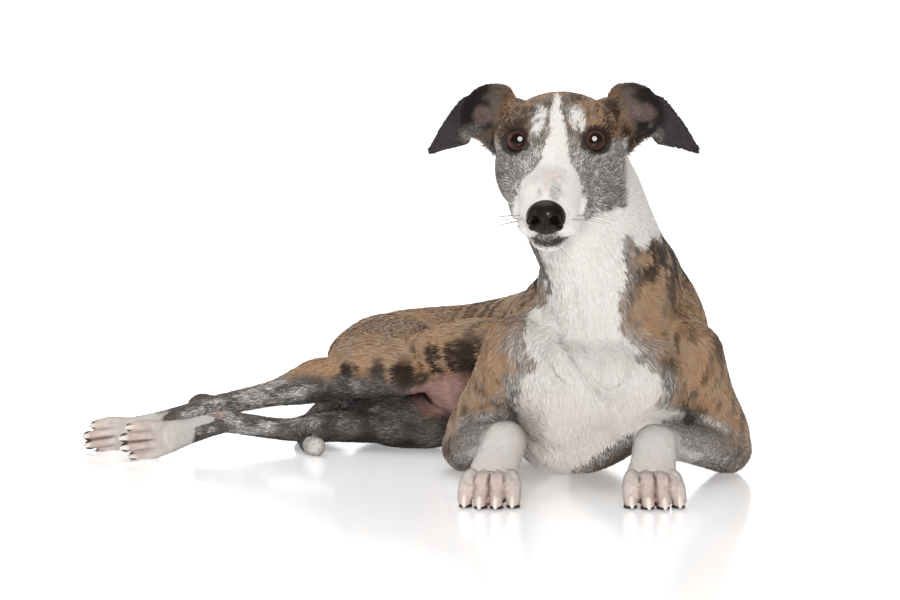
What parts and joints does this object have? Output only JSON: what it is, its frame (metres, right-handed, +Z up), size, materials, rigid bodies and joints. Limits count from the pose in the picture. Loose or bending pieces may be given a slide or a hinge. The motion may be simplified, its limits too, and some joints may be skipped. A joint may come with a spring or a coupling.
{
  "type": "greyhound figure",
  "caption": "Life-size still model of a short-coated greyhound lying with its head up, forelegs forward and both hind legs stretched to one side.",
  "frame": {"origin": "on the floor, under the middle of the model's box", "axes": "+Z up from the floor, -Y the way the chest and forepaws point, +X the dog's left, the hind legs stretch towards -X"},
  "size_m": [0.6928, 0.7268, 0.3758],
  "materials": {
    "brindle_coat": "short flat coat, black stripes on tan",
    "white_coat": "short flat coat, white",
    "roan_coat": "short flat coat, dark hairs mixed with white",
    "ear_leather": "thin skin with very short fur",
    "nose_leather": "bare, finely pebbled, moist",
    "eye": "polished, red-brown iris round a dark pupil"
  },
  "bodies": {
    "root": {"forearm_left": "brindle_coat", "forearm_right": "brindle_coat", "loin": "brindle_coat", "thigh_left": "brindle_coat", "thigh_right": "brindle_coat", "upper_arm_left": "brindle_coat", "upper_arm_right": "brindle_coat", "chest": "white_coat", "forepaw_left": "white_coat", "forepaw_right": "white_coat", "hindfoot_left": "white_coat", "hindfoot_right": "white_coat", "neck": "white_coat", "tail_tip": "white_coat", "head": "roan_coat", "shank_left": "roan_coat", "shank_right": "roan_coat", "tail_base": "roan_coat", "ear_left": "ear_leather", "ear_right": "ear_leather", "nose": "nose_leather", "eye_left": "eye", "eye_right": "eye"}
  },
  "joints": []
}
